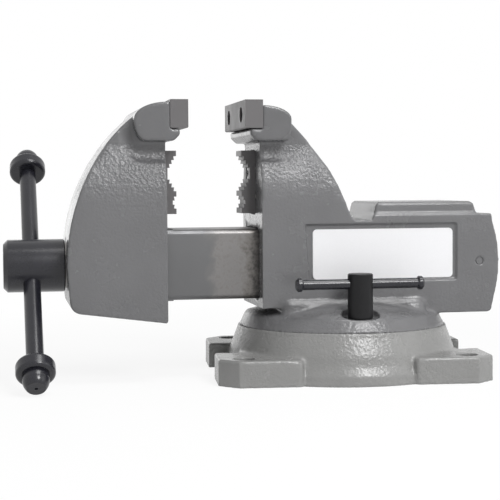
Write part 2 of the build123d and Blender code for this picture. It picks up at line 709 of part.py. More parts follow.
def t_nuts():
    """The two curved T nuts that the lock bolts draw up under the base's slot."""
    ring = t_slot_ring(T_NUT_CLEARANCE, T_SLOT_FLOOR_Z + T_NUT_CLEARANCE, SEAM_Z - T_NUT_TOP_DROP)
    half_length = lock_radius * math.sin(math.radians(T_NUT_ANGLE / 2))
    nuts = []
    for x, y in lock_places():
        window = Pos(x, y, SEAM_Z / 2) * Box(2 * half_length, 2 * T_SLOT_ROOM, SEAM_Z)
        nut = ring & window
        nuts.append(nut - rod_z(LOCK_SHANK_RADIUS + TURNING_CLEARANCE, 0, SEAM_Z, x, y))
    return Compound([solid for nut in nuts for solid in nut.solids()])


# ---------------------------------------------------------------- base


def swivel_base():
    """The round base with four bolting lugs, a ring T slot and a ribbed underside."""
    base = turned(
        [
            (0, 0),
            (BASE_FOOT_RADIUS, 0),
            (BASE_FOOT_RADIUS - FOOT_DRAFT, FOOT_HEIGHT),
            (waist_radius + ANKLE_DRAFT, ANKLE_Z),
            (waist_radius, BASE_WAIST_Z),
            (base_top_radius, SEAM_Z),
            (0, SEAM_Z),
        ]
    )
    lugs = None
    for side_x in (-1, 1):
        for side_y in (-1, 1):
            x = side_x * (base_length - LUG_LENGTH) / 2
            y = side_y * (base_width - LUG_WIDTH) / 2
            lug = Pos(x, y, LUG_HEIGHT / 2) * Box(LUG_LENGTH, LUG_WIDTH, LUG_HEIGHT)
            corners = lug.edges().filter_by(Axis.Z).sort_by_distance((side_x * base_length, side_y * base_width, 0))
            lug = chamfer(corners[0], LUG_CHAMFER)
            inner = lug.edges().filter_by(Axis.Z).sort_by_distance((0, side_y * base_width, LUG_HEIGHT / 2))
            lug = fillet(inner[0], LUG_INNER_RADIUS)
            lug = fillet(lug.faces().sort_by(Axis.Z)[-1].edges(), LUG_EDGE)
            lugs = lug if lugs is None else lugs + lug
    base = Rot(0, 0, BASE_TURN) * (base + lugs)
    base -= t_slot_ring(0.0, T_SLOT_FLOOR_Z, SEAM_Z + OVERRUN)
    base -= rod_z(SPIGOT_RADIUS + TURNING_CLEARANCE, SEAM_Z - SPIGOT_LENGTH - OVERRUN, SEAM_Z + OVERRUN)
    hollow = rod_z(undercut_outer_radius, 0, UNDERCUT_DEPTH) - rod_z(UNDERCUT_INNER_RADIUS, 0, UNDERCUT_DEPTH)
    for rib in range(RIB_COUNT):
        angle = BASE_TURN + 360.0 * rib / RIB_COUNT
        arm = Pos(undercut_outer_radius / 2, 0, UNDERCUT_DEPTH / 2) * Box(
            undercut_outer_radius + OVERRUN, RIB_THICKNESS, UNDERCUT_DEPTH
        )
        hollow -= Rot(0, 0, angle) * arm
    base -= hollow
    for x, y in bolt_places():
        base -= rod_z(BOLT_HOLE_RADIUS, -OVERRUN, LUG_HEIGHT + OVERRUN, x, y)
    return base


def bolt_places():
    """The four bolt holes, turned with the base."""
    turn = math.radians(BASE_TURN)
    places = []
    for side_x in (-1, 1):
        for side_y in (-1, 1):
            x = side_x * (base_length / 2 - BOLT_INSET_X)
            y = side_y * (base_width / 2 - BOLT_INSET_Y)
            places.append((x * math.cos(turn) - y * math.sin(turn), x * math.sin(turn) + y * math.cos(turn)))
    return places


# ---------------------------------------------------------------- swivel locks


def lock_bolt(x, y):
    """A round-headed lock bolt with a cross hole for its bar."""
    bolt = rod_z(LOCK_HEAD_RADIUS, LOCK_PAD_Z, lock_top_z, x, y)
    bolt = chamfer(bolt.edges().filter_by(GeomType.CIRCLE), LOCK_HEAD_EDGE)
    bolt += rod_z(LOCK_SHANK_RADIUS, T_SLOT_FLOOR_Z + LOCK_SHANK_STOP, LOCK_PAD_Z, x, y)
    reach = LOCK_HEAD_RADIUS + OVERRUN
    return bolt - rod_x(LOCK_BAR_RADIUS + TURNING_CLEARANCE, x - reach, x + reach, y, lock_bar_z)


def lock_bar(x, y):
    """The sliding cross bar of a lock bolt, with a bead at each end."""
    half = LOCK_BAR_LENGTH / 2
    neck = half - LOCK_BEAD_LENGTH
    points = [
        (0, -half),
        (LOCK_BEAD_RADIUS - LOCK_BEAD_EDGE, -half),
        (LOCK_BEAD_RADIUS, -half + LOCK_BEAD_EDGE),
        (LOCK_BEAD_RADIUS, -neck - LOCK_BEAD_EDGE),
        (LOCK_BAR_RADIUS, -neck),
    ]
    points += [(radius, -height) for radius, height in reversed(points)]
    return Pos(x, y, lock_bar_z) * Rot(0, 90, 0) * turned(points)


# ---------------------------------------------------------------- screw


def main_screw():
    """The screw with its large hub, drilled across for the handle."""
    hub = turned(
        [
            (0, hub_end_x),
            (HUB_RADIUS - HUB_CHAMFER, hub_end_x),
            (HUB_RADIUS, hub_end_x + HUB_CHAMFER),
            (HUB_RADIUS, hub_face_x - HUB_EDGE),
            (HUB_RADIUS - HUB_EDGE, hub_face_x),
            (SCREW_RADIUS, hub_face_x),
            (SCREW_RADIUS, screw_tip_x - TIP_CHAMFER),
            (SCREW_RADIUS - TIP_CHAMFER, screw_tip_x),
            (0, screw_tip_x),
        ]
    )
    screw = Pos(0, 0, SCREW_AXIS_Z) * Rot(0, 90, 0) * hub
    screw -= along_handle(Cylinder(HANDLE_BAR_RADIUS + TURNING_CLEARANCE, 3 * HUB_RADIUS))
    return screw - collar_pin_rod(COLLAR_PIN_RADIUS + PRESS_GAP, 2 * COLLAR_RADIUS)


def thrust_washer():
    """The washer between hub and front jaw."""
    ring = rod_x(WASHER_RADIUS, hub_face_x, hub_face_x + WASHER_THICKNESS)
    return ring - rod_x(SCREW_RADIUS + TURNING_CLEARANCE, hub_face_x - OVERRUN, boss_face_x)


def collar_pin_rod(radius, length):
    """The line of the collar's pin, across the screw."""
    return Pos(collar_pin_x, 0, SCREW_AXIS_Z) * Cylinder(radius, length)


def retaining_collar():
    """The collar that holds the screw in the front jaw, so that it draws the jaw back out."""
    end_x = collar_x + COLLAR_LENGTH
    collar = rod_x(COLLAR_RADIUS, collar_x, end_x)
    collar = chamfer(collar.edges().filter_by(GeomType.CIRCLE), COLLAR_EDGE)
    collar -= rod_x(SCREW_RADIUS + TURNING_CLEARANCE, collar_x - OVERRUN, end_x + OVERRUN)
    return collar - collar_pin_rod(COLLAR_PIN_RADIUS + PRESS_GAP, 2 * COLLAR_RADIUS + OVERRUN)


# ---------------------------------------------------------------- handle


def along_handle(shape):
    """Places a shape drawn about Z on the handle's tilted line through the hub."""
    return Pos(handle_x, 0, SCREW_AXIS_Z) * Rot(-HANDLE_TILT, 0, 0) * shape


def handle_bar():
    """The sliding handle bar, reduced at both ends to seat the knobs."""
    points = [
        (0, -knob_seat - knob_peg),
        (knob_peg_radius, -knob_seat - knob_peg),
        (knob_peg_radius, -knob_seat),
        (HANDLE_BAR_RADIUS, -knob_seat),
    ]
    points += [(r, -h) for r, h in reversed(points)]
    return along_handle(Pos(0, 0, HANDLE_SHIFT) * turned(points))


def handle_knob(end):
    """One stepped knob: a wide rounded collar and a dome with a flat end."""
    dome_z = knob_seat + KNOB_COLLAR_LENGTH
    end_z = dome_z + KNOB_DOME_LENGTH
    inner = KNOB_COLLAR_RADIUS - KNOB_EDGE
    middle = KNOB_EDGE * ARC_MIDDLE
    rise_z = dome_z + KNOB_DOME_RISE
    outline = [
        Line((0, knob_seat), (inner, knob_seat)),
        ThreePointArc(
            (inner, knob_seat),
            (KNOB_COLLAR_RADIUS - middle, knob_seat + middle),
            (KNOB_COLLAR_RADIUS, knob_seat + KNOB_EDGE),
        ),
        Line((KNOB_COLLAR_RADIUS, knob_seat + KNOB_EDGE), (KNOB_COLLAR_RADIUS, dome_z - KNOB_EDGE)),
        ThreePointArc(
            (KNOB_COLLAR_RADIUS, dome_z - KNOB_EDGE),
            (KNOB_COLLAR_RADIUS - middle, dome_z - middle),
            (inner, dome_z),
        ),
        Polyline((inner, dome_z), (KNOB_DOME_RADIUS, dome_z), (KNOB_DOME_RADIUS, rise_z)),
        ThreePointArc(
            (KNOB_DOME_RADIUS, rise_z),
            (KNOB_DOME_RADIUS - KNOB_SWELL_DROP, dome_z + KNOB_SWELL_RISE),
            (KNOB_END_RADIUS, end_z),
        ),
        Polyline((KNOB_END_RADIUS, end_z), (0, end_z), (0, knob_seat)),
    ]
    knob = revolve(Plane.XZ * make_face(outline), Axis.Z)
    knob -= rod_z(knob_peg_radius, knob_seat, knob_seat + knob_peg)
    knob -= rod_z(CENTRE_MARK_RADIUS, end_z - CENTRE_MARK_DEPTH, end_z + OVERRUN)
    return along_handle(Pos(0, 0, HANDLE_SHIFT) * (knob if end > 0 else Rot(180, 0, 0) * knob))


# ---------------------------------------------------------------- all pieces

near_lock, far_lock = lock_places()

pieces = {
    "swivel_base": swivel_base(),
    "static_jaw": static_jaw(),
    "rear_jaw_insert": jaw_insert(rear_seat_x, 1),
    "rear_insert_screws": insert_screws(rear_seat_x, 1),
    "rear_pipe_jaw": pipe_jaw(STATIC_FACE_X, 1),
    "rear_pipe_jaw_screw": pipe_jaw_screw(STATIC_FACE_X, 1),
    "spindle_nut": spindle_nut(),
    "nut_cross_pin": nut_cross_pin(),
    "label_plate": label_plate(),
    "t_nuts": t_nuts(),
    "front_jaw": front_jaw(),
    "front_jaw_insert": jaw_insert(front_seat_x, -1),
    "front_insert_screws": insert_screws(front_seat_x, -1),
    "front_pipe_jaw": pipe_jaw(front_face_x, -1),
    "front_pipe_jaw_screw": pipe_jaw_screw(front_face_x, -1),
    "main_screw": main_screw(),
    "thrust_washer": thrust_washer(),
    "retaining_collar": retaining_collar(),
    "collar_pin": collar_pin_rod(COLLAR_PIN_RADIUS, 2 * (COLLAR_RADIUS - COLLAR_PIN_SINK)),
    "handle_bar": handle_bar(),
    "upper_knob": handle_knob(1),
    "lower_knob": handle_knob(-1),
    "near_lock_bolt": lock_bolt(*near_lock),
    "far_lock_bolt": lock_bolt(*far_lock),
    "near_lock_bar": lock_bar(*near_lock),
    "far_lock_bar": lock_bar(*far_lock),
}

os.makedirs("parts", exist_ok=True)
for name, shape in pieces.items():
    export_step(shape, os.path.join("parts", name + ".step"))
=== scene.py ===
import math

import bmesh
import bpy
import numpy as np
from mathutils import Matrix, Vector


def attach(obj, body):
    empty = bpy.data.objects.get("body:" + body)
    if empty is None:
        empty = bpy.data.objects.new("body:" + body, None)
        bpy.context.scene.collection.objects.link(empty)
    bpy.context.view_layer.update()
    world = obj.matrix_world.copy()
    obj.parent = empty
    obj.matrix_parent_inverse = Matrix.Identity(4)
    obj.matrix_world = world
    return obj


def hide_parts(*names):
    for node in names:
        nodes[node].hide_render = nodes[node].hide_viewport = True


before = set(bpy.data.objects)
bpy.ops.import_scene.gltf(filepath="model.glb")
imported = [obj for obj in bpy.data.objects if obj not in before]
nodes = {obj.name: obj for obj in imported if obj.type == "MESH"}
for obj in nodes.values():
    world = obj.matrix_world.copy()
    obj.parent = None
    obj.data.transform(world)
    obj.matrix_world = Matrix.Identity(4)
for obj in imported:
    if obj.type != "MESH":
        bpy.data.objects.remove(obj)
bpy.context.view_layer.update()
scene = bpy.context.scene

# ---------------------------------------------------------------- camera

FOCAL_PIXELS = 1364.0
PHOTO_PIXELS = 500.0
SENSOR = 36.0
CAMERA_YAW = math.radians(10.6)
CAMERA_PITCH = math.radians(-2.85)
CAMERA_ROLL = math.radians(-0.4)
CAMERA_PLACE = (-0.2994, -1.1649, 0.1666)
CLIP_START, CLIP_END = 0.05, 50.0

camera_data = bpy.data.cameras.new("camera")
camera_data.sensor_width = SENSOR
camera_data.lens = FOCAL_PIXELS / PHOTO_PIXELS * SENSOR
camera_data.clip_start = CLIP_START
camera_data.clip_end = CLIP_END
camera = bpy.data.objects.new("camera", camera_data)
forward = Vector(
    (
        math.sin(CAMERA_YAW) * math.cos(CAMERA_PITCH),
        math.cos(CAMERA_YAW) * math.cos(CAMERA_PITCH),
        math.sin(CAMERA_PITCH),
    )
)
turn = forward.to_track_quat("-Z", "Y").to_matrix().to_4x4()
camera.matrix_world = Matrix.Translation(CAMERA_PLACE) @ turn @ Matrix.Rotation(CAMERA_ROLL, 4, "Z")
scene.collection.objects.link(camera)
scene.camera = camera

# ---------------------------------------------------------------- materials

# The height ramps run from the floor up to here, in metres.
RAMP_TOP_Z = 0.24


class Graph:
    """A material's node tree, with short calls for the nodes that repeat."""

    def __init__(self, name):
        self.material = bpy.data.materials.new(name)
        self.material.use_nodes = True
        self.tree = self.material.node_tree
        self.tree.nodes.clear()
        self.out = self.node("ShaderNodeOutputMaterial")
        self.shader = self.node("ShaderNodeBsdfPrincipled")
        self.link(self.shader, "BSDF", self.out, "Surface")
        self.place = self.node("ShaderNodeTexCoord")

    def node(self, kind, **settings):
        made = self.tree.nodes.new(kind)
        for key, value in settings.items():
            setattr(made, key, value)
        return made

    def link(self, source, output, target, socket):
        self.tree.links.new(source.outputs[output], target.inputs[socket])

    def stretched(self, scale):
        """Object coordinates in metres, scaled along each axis."""
        mapping = self.node("ShaderNodeMapping")
        mapping.inputs["Scale"].default_value = scale
        self.link(self.place, "Object", mapping, "Vector")
        return mapping

    def noise(self, scale, detail=3.0, rough=0.5, source=None):
        """Noise over the object coordinates, or over a mapping node's."""
        made = self.node("ShaderNodeTexNoise")
        made.inputs["Scale"].default_value = scale
        made.inputs["Detail"].default_value = detail
        made.inputs["Roughness"].default_value = rough
        if source is None:
            self.link(self.place, "Object", made, "Vector")
        else:
            self.link(source, "Vector", made, "Vector")
        return made

    def ranged(self, source, output, low, high, to_low, to_high):
        """Maps a value from one range to another, clamped."""
        made = self.node("ShaderNodeMapRange")
        made.inputs["From Min"].default_value = low
        made.inputs["From Max"].default_value = high
        made.inputs["To Min"].default_value = to_low
        made.inputs["To Max"].default_value = to_high
        self.link(source, output, made, "Value")
        return made

    def maths(self, operation, first, first_out, second, second_out=None):
        """A maths node of two values, or of a value and a number."""
        made = self.node("ShaderNodeMath", operation=operation)
        self.tree.links.new(first.outputs[first_out], made.inputs[0])
        if second_out is None:
            made.inputs[1].default_value = second
        else:
            self.tree.links.new(second.outputs[second_out], made.inputs[1])
        return made

    def ramp(self, source, output, stops):
        """A colour ramp with a stop for each position and colour."""
        made = self.node("ShaderNodeValToRGB")
        elements = made.color_ramp.elements
        elements.remove(elements[1])
        elements[0].position = stops[0][0]
        elements[0].color = (*stops[0][1], 1.0)
        for at, colour in stops[1:]:
            elements.new(at).color = (*colour, 1.0)
        self.link(source, output, made, "Fac")
        return made

    def colours(self, source, output, stops):
        """A colour ramp into the base colour."""
        self.link(self.ramp(source, output, stops), "Color", self.shader, "Base Color")

    def by_height(self, stops):
        """A grey value that changes with the height above the floor, up to RAMP_TOP_Z."""
        split = self.node("ShaderNodeSeparateXYZ")
        self.link(self.place, "Object", split, "Vector")
        up = self.ranged(split, "Z", 0.0, RAMP_TOP_Z, 0.0, 1.0)
        return self.ramp(up, "Result", [(at, (value,) * 3) for at, value in stops])

    def bump(self, source, output, distance):
        """A bump from a height into the shader's normal."""
        made = self.node("ShaderNodeBump")
        made.inputs["Distance"].default_value = distance
        made.inputs["Strength"].default_value = 1.0
        self.link(source, output, made, "Height")
        self.link(made, "Normal", self.shader, "Normal")
        return made

    def set(self, **values):
        for key, value in values.items():
            self.shader.inputs[key.replace("_", " ")].default_value = value


# Stops of the height ramps, as shares of RAMP_TOP_Z and a value.
GRAIN_ON_BASE = [(0.0, 0.35), (0.1, 0.5), (0.17, 0.7)]
GRAIN_ON_FLANGE = [(0.19, 0.4), (0.27, 0.4)]
GRAIN_ON_FLANKS = [(0.34, 0.3), (0.62, 0.3)]
GRAIN_ON_SHOULDERS = [(0.70, 1.0), (0.82, 1.0)]
GRAIN_ON_HEADS = [(0.838, 0.06)]
GRAIN_STRENGTH = GRAIN_ON_BASE + GRAIN_ON_FLANGE + GRAIN_ON_FLANKS + GRAIN_ON_SHOULDERS + GRAIN_ON_HEADS
HEADS_DARKER = [(0.0, 0.0), (0.825, 0.0), (0.838, 0.3)]

# The enamel's noises, as features per metre, its relief in metres, and its gloss.
CLOUD_NOISE, PATCH_NOISE, GLOSS_NOISE, GRAIN_NOISE, PEEL_NOISE = 22.0, 28.0, 60.0, 420.0, 1100.0
ENAMEL_TONES = [(0.0, 0.8), (0.3, 0.95), (0.7, 1.05)]
ENAMEL_RELIEF = 0.0013
PEEL_SHARE = 0.10
PATCH_LEAST = 0.35
ENAMEL_ROUGHNESS = (0.21, 0.29)


def enamel(name, grey, blue):
    """Gloss grey enamel over a sand casting: small hammered bumps, cloudy in places."""
    g = Graph(name)
    clouds = g.noise(CLOUD_NOISE, 2.0)
    heads = g.by_height(HEADS_DARKER)
    shade = g.maths("SUBTRACT", clouds, "Fac", heads, "Color")
    stops = [(at, (grey * tone, grey * tone, grey * tone * blue)) for at, tone in ENAMEL_TONES]
    g.colours(shade, "Value", stops)
    grain = g.noise(GRAIN_NOISE, 2.5)
    patch = g.ranged(g.noise(PATCH_NOISE, 2.0), "Fac", 0.35, 0.65, PATCH_LEAST, 1.0)
    peel = g.noise(PEEL_NOISE, 2.0)
    fine = g.maths("MULTIPLY", peel, "Fac", PEEL_SHARE)
    coarse = g.maths("MULTIPLY", grain, "Fac", patch, "Result")
    height = g.maths("ADD", coarse, "Value", fine, "Value")
    relief = g.bump(height, "Value", ENAMEL_RELIEF)
    g.link(g.by_height(GRAIN_STRENGTH), "Color", relief, "Strength")
    rough = g.ranged(g.noise(GLOSS_NOISE), "Fac", 0.3, 0.7, *ENAMEL_ROUGHNESS)
    g.link(rough, "Result", g.shader, "Roughness")
    return g.material


STREAK_NOISE, STEEL_CLOUD_NOISE = 900.0, 35.0
STREAK_RELIEF = 0.00002
GLOSS_SPREAD = 0.15


def steel(name, colour, rough, streak, metal=1.0, along=(1.0, 1.0, 1.0), gloss=0.5):
    """Bare or oxidised steel, with machining streaks stretched along one axis."""
    g = Graph(name)
    lines = g.noise(STREAK_NOISE, 3.0, 0.6, g.stretched(along))
    cloud = g.noise(STEEL_CLOUD_NOISE)
    dark = tuple(c * (1.0 - streak) for c in colour)
    light = tuple(min(1.0, c * (1.0 + streak)) for c in colour)
    both = g.maths("ADD", lines, "Fac", cloud, "Fac")
    half = g.maths("MULTIPLY", both, "Value", 0.5)
    g.colours(half, "Value", [(0.35, dark), (0.65, light)])
    shine = g.ranged(cloud, "Fac", 0.3, 0.7, rough * (1.0 - GLOSS_SPREAD), rough * (1.0 + GLOSS_SPREAD))
    g.link(shine, "Result", g.shader, "Roughness")
    g.bump(lines, "Fac", STREAK_RELIEF)
    g.set(Metallic=metal, Specular_IOR_Level=gloss)
    return g.material


# Along the beam: where its wear sets in, and the band of painted shade where it enters the body's mouth.
WORN_START_X, WORN_END_X, WORN_SHADE = -0.112, -0.102, 0.6
MOUTH_SHADE_START_X, MOUTH_SHADE_FULL_X, MOUTH_SHADE_FADE_X, MOUTH_SHADE_END_X, MOUTH_SHADE_DEPTH = -0.084, -0.066, -0.060, -0.046, 0.4
BEAM_CLOUD_NOISE, BEAM_MOTTLE_NOISE = 75.0, 330.0
BEAM_WANDER = 0.024
BEAM_MOTTLE = 0.16
BEAM_RELIEF = 0.00003
BEAM_ROUGHNESS = (0.34, 0.46)
BEAM_METALLIC = 0.75
# From plain grey, through the worn warm tone, to the dark of the painted shade at the body's mouth.
BEAM_TONES = [
    (0.0, (0.15, 0.151, 0.154)),
    (0.3, (0.165, 0.163, 0.163)),
    (0.6, (0.208, 0.202, 0.199)),
    (0.8, (0.165, 0.156, 0.147)),
    (1.0, (0.075, 0.072, 0.07)),
]


def beam_finish():
    """Ground steel, smooth and grey at the jaw and mottled brown towards the body, with painted shade where
    it enters the body's mouth.
    """
    g = Graph("beam_steel")
    split = g.node("ShaderNodeSeparateXYZ")
    g.link(g.place, "Object", split, "Vector")
    cloud = g.noise(BEAM_CLOUD_NOISE)
    shift = g.maths("MULTIPLY", cloud, "Fac", BEAM_WANDER)
    along = g.maths("ADD", split, "X", shift, "Value")
    worn = g.ranged(along, "Value", WORN_START_X, WORN_END_X, 0.0, WORN_SHADE)
    # Painted shade: the beam gets darker where it enters the body's mouth, then lighter again further in.
    mouth = g.ranged(along, "Value", MOUTH_SHADE_START_X, MOUTH_SHADE_FULL_X, 0.0, MOUTH_SHADE_DEPTH)
    clear = g.ranged(along, "Value", MOUTH_SHADE_FADE_X, MOUTH_SHADE_END_X, 0.0, MOUTH_SHADE_DEPTH)
    painted_mouth_shade = g.maths("SUBTRACT", mouth, "Result", clear, "Result")
    mottle = g.noise(BEAM_MOTTLE_NOISE, 3.0, 0.6)
    spread = g.ranged(mottle, "Fac", 0.35, 0.65, -BEAM_MOTTLE, BEAM_MOTTLE)
    uneven = g.maths("MULTIPLY", spread, "Result", worn, "Result")
    base = g.maths("ADD", worn, "Result", painted_mouth_shade, "Value")
    shade = g.maths("ADD", base, "Value", uneven, "Value")
    g.colours(shade, "Value", BEAM_TONES)
    rough = g.ranged(cloud, "Fac", 0.3, 0.7, *BEAM_ROUGHNESS)
    g.link(rough, "Result", g.shader, "Roughness")
    g.bump(mottle, "Fac", BEAM_RELIEF)
    g.set(Metallic=BEAM_METALLIC)
    return g.material


PLATE_NOISE = 700.0
PLATE_TONES = [(0.3, (0.785, 0.785, 0.80)), (0.7, (0.80, 0.80, 0.815))]
PLATE_RELIEF = 0.000004
PLATE_ROUGHNESS = 0.4


def plate_white():
    """A white coated plate with a barely visible grain."""
    g = Graph("plate_white")
    speck = g.noise(PLATE_NOISE, 2.0)
    g.colours(speck, "Fac", PLATE_TONES)
    g.bump(speck, "Fac", PLATE_RELIEF)
    g.set(Roughness=PLATE_ROUGHNESS)
    return g.material


cast_enamel = enamel("cast_enamel", 0.143, 1.03)
base_enamel = enamel("base_enamel", 0.235, 0.98)
beam_steel = beam_finish()
jaw_steel = steel("jaw_steel", (0.12, 0.116, 0.118), 0.48, 0.06, metal=0.35, along=(8.0, 1.0, 8.0))
inner_steel = steel("inner_steel", (0.32, 0.31, 0.30), 0.4, 0.1)
black_steel = steel("black_steel", (0.013, 0.013, 0.018), 0.24, 0.2, metal=0.0)
lock_steel = steel("lock_steel", (0.008, 0.008, 0.009), 0.42, 0.2, metal=0.0, gloss=0.25)
plate = plate_white()

DRESSED = [
    (jaw_steel, ("rear_jaw_insert", "front_jaw_insert", "rear_pipe_jaw", "front_pipe_jaw")),
    (
        black_steel,
        (
            "rear_insert_screws",
            "front_insert_screws",
            "rear_pipe_jaw_screw",
            "front_pipe_jaw_screw",
            "main_screw",
            "handle_bar",
            "upper_knob",
            "lower_knob",
            "near_lock_bar",
            "far_lock_bar",
        ),
    ),
    (lock_steel, ("near_lock_bolt", "far_lock_bolt")),
    (cast_enamel, ("nut_cross_pin",)),
    (inner_steel, ("spindle_nut", "t_nuts", "retaining_collar", "collar_pin", "thrust_washer")),
    (plate, ("label_plate",)),
]

for material, names in DRESSED:
    for name in names:
        mesh = nodes[name].data
        mesh.materials.clear()
        mesh.materials.append(material)

# ---------------------------------------------------------------- castings

FINE_VOXEL = 0.0010
VOXEL = FINE_VOXEL
MOST_TRIANGLES = 170000
WEIGHT_LEVELS = 8
SMOOTH_FACTOR = 0.5
UNEVEN_DEPTH = 0.00035
LONG_WAVE, LONG_SEED, LONG_SHARE = 0.013, 5, 0.6
SHORT_WAVE, SHORT_SEED, SHORT_SHARE = 0.0065, 8, 0.4
WAVE_COUNT = 12
SAME_POINT = 1e-7

# Places shared by the castings, in metres.
ABOVE_ALL_Z = 0.24
FRONT_FACE_X = -0.1589
STATIC_FACE_X = -0.0790
SEAM_Z = 0.042
HEAD_LOW_Z = 0.199
HEAD_SIDE_Y = 0.036
LEDGE_Z = (0.186, 0.195)
LEDGE_SIDE_Y = 0.034
LEDGE_FADE = 0.007
LIP_TOP_Z = 0.2105
LIP_X = (FRONT_FACE_X + 0.003, -0.14)
FLANK_LOW_Z, FLANK_HIGH_Z, FLANK_FADE = 0.070, 0.145, 0.015

# Near a machined face the softening falls to FACE_LEAST.
FACE_MARGIN, FACE_FADE, FACE_LEAST = 0.001, 0.003, 0.12

# Over these lengths a zone of softening or unevenness ends at its edges.
SHARP_FADE, SHORT_FADE, SOFT_FADE = 0.001, 0.002, 0.003

# Smoothing passes at the fine voxel: filled junctions, the castings' edges all over, and a last light one.
FRONT_PASSES, BODY_PASSES, BASE_PASSES = 40, 60, 50
EDGE_PASSES = 14
LAST_PASSES, LAST_SHARE = 3, 0.6
HEAD_KEPT, ANVIL_KEPT, LUG_KEPT, FLANK_KEPT = 0.8, 0.6, 0.75, 0.95
FRONT_LIP_SHARE, BODY_LIP_SHARE, BODY_LEDGE_SHARE, PLINTH_SHARE = 0.4, 0.3, 0.7, 0.6

# The beam leaves the front casting here, below BEAM_ROOM_Z.
BEAM_CUT_X = FRONT_FACE_X + 0.0008
BEAM_ROOM_Z = 0.160
BEAM_SHARP_ANGLE = math.radians(35)


def points_of(mesh):
    co = np.empty(len(mesh.vertices) * 3)
    mesh.vertices.foreach_get("co", co)
    return co.reshape(-1, 3)


def near(values, low, high, soft):
    """1 between low and high, falling to 0 over soft outside."""
    return np.clip(1.0 + np.minimum(values - low, high - values) / soft, 0.0, 1.0)


def weigh(obj, name, weights):
    """A vertex group from weights, rounded to a few levels."""
    group = obj.vertex_groups.new(name=name)
    steps = np.round(np.clip(weights, 0.0, 1.0) * WEIGHT_LEVELS).astype(int)
    for step in range(1, WEIGHT_LEVELS + 1):
        chosen = np.nonzero(steps == step)[0]
        if len(chosen):
            group.add(chosen.tolist(), step / WEIGHT_LEVELS, "REPLACE")


def applied(obj):
    """Bakes an object's modifiers into its mesh."""
    graph = bpy.context.evaluated_depsgraph_get()
    made = bpy.data.meshes.new_from_object(obj.evaluated_get(graph))
    obj.modifiers.clear()
    old = obj.data
    obj.data = made
    bpy.data.meshes.remove(old)


def wavy(points, length, seed):
    """A smooth, fixed sum of waves in many directions, between -1 and 1."""
    generator = np.random.default_rng(seed)
    total = np.zeros(len(points))
    for _ in range(WAVE_COUNT):
        direction = generator.normal(size=3)
        direction *= 2 * math.pi / length / np.linalg.norm(direction) * generator.uniform(0.6, 1.4)
        total += np.sin(points @ direction + generator.uniform(0, 2 * math.pi))
    return total / WAVE_COUNT


def without(mesh, gone):
    """Deletes the faces whose middle gone chooses, and closes the mesh again."""
    work = bmesh.new()
    work.from_mesh(mesh)
    bmesh.ops.remove_doubles(work, verts=work.verts, dist=SAME_POINT)
    everything = work.verts[:] + work.edges[:] + work.faces[:]
    bmesh.ops.bisect_plane(work, geom=everything, plane_co=(BEAM_CUT_X, 0, 0), plane_no=(1, 0, 0))
    faces = [face for face in work.faces if gone(face.calc_center_median())]
    bmesh.ops.delete(work, geom=faces, context="FACES")
    rim = [edge for edge in work.edges if edge.is_boundary]
    bmesh.ops.triangle_fill(work, edges=rim, use_beauty=True)
    bmesh.ops.recalc_face_normals(work, faces=work.faces)
    work.to_mesh(mesh)
    work.free()
    mesh.attributes.remove(mesh.attributes["custom_normal"])


def casting(node, name, soften, uneven, material, prepare=None, reshape=None):
    """A cast copy of a CAD solid: edges and junctions softened where soften says, faces slightly uneven."""
    mesh = nodes[node].data.copy()
    obj = bpy.data.objects.new(name, mesh)
    scene.collection.objects.link(obj)
    if prepare is not None:
        without(mesh, prepare)
    remesh = obj.modifiers.new("remesh", "REMESH")
    remesh.mode = "VOXEL"
    remesh.voxel_size = VOXEL
    remesh.use_smooth_shade = True
    applied(obj)
    points = points_of(obj.data)
    if reshape is not None:
        points = reshape(points)
        obj.data.vertices.foreach_set("co", points.ravel())
    for index, (iterations, weights) in enumerate(soften(points)):
        weigh(obj, f"soften{index}", weights)
        smooth = obj.modifiers.new(f"smooth{index}", "SMOOTH")
        smooth.factor = SMOOTH_FACTOR
        smooth.iterations = max(1, round(iterations * (FINE_VOXEL / VOXEL) ** 2))
        smooth.vertex_group = f"soften{index}"
    applied(obj)
    obj.vertex_groups.clear()
    points = points_of(obj.data)
    normals = np.empty(points.size)
    obj.data.vertices.foreach_get("normal", normals)
    long_waves = (0.5 + 0.5 * wavy(points, LONG_WAVE, LONG_SEED)) * LONG_SHARE
    short_waves = (0.5 + 0.5 * wavy(points, SHORT_WAVE, SHORT_SEED)) * SHORT_SHARE
    depth = long_waves + short_waves
    points -= normals.reshape(-1, 3) * (uneven(points) * depth * UNEVEN_DEPTH)[:, None]
    obj.data.vertices.foreach_set("co", points.ravel())
    obj.data.update()
    count = sum(len(p.vertices) - 2 for p in obj.data.polygons)
    if count > MOST_TRIANGLES:
        thin = obj.modifiers.new("thin", "DECIMATE")
        thin.ratio = MOST_TRIANGLES / count
        applied(obj)
    for polygon in obj.data.polygons:
        polygon.use_smooth = True
    obj.data.materials.clear()
    obj.data.materials.append(material)
    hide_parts(node)
    return obj


def on_beam(middle):
    return middle.x > BEAM_CUT_X and middle.z < BEAM_ROOM_Z


def front_soften(p):
    x, y, z = p.T
    side = np.abs(y)
    off_face = np.clip((FRONT_FACE_X - FACE_MARGIN - x) / FACE_FADE, FACE_LEAST, 1.0)
    head = near(z, HEAD_LOW_Z, ABOVE_ALL_Z, SHORT_FADE) * (side > HEAD_SIDE_Y)
    ledge = near(z, *LEDGE_Z, LEDGE_FADE) * (side > LEDGE_SIDE_Y) * off_face
    lip = near(x, *LIP_X, SHARP_FADE) * (z < LIP_TOP_Z)
    return [
        (FRONT_PASSES, np.maximum(ledge, FRONT_LIP_SHARE * lip)),
        (EDGE_PASSES, off_face * (1.0 - HEAD_KEPT * head)),
        (LAST_PASSES, np.full(len(p), LAST_SHARE)),
    ]


def front_uneven(p):
    x, y, z = p.T
    flank = np.clip((FRONT_FACE_X - 0.002 - x) / 0.004, 0.0, 1.0) * (z < HEAD_LOW_Z)
    return flank * (1.0 - FLANK_KEPT * near(z, 0.0, FLANK_HIGH_Z, FLANK_FADE))


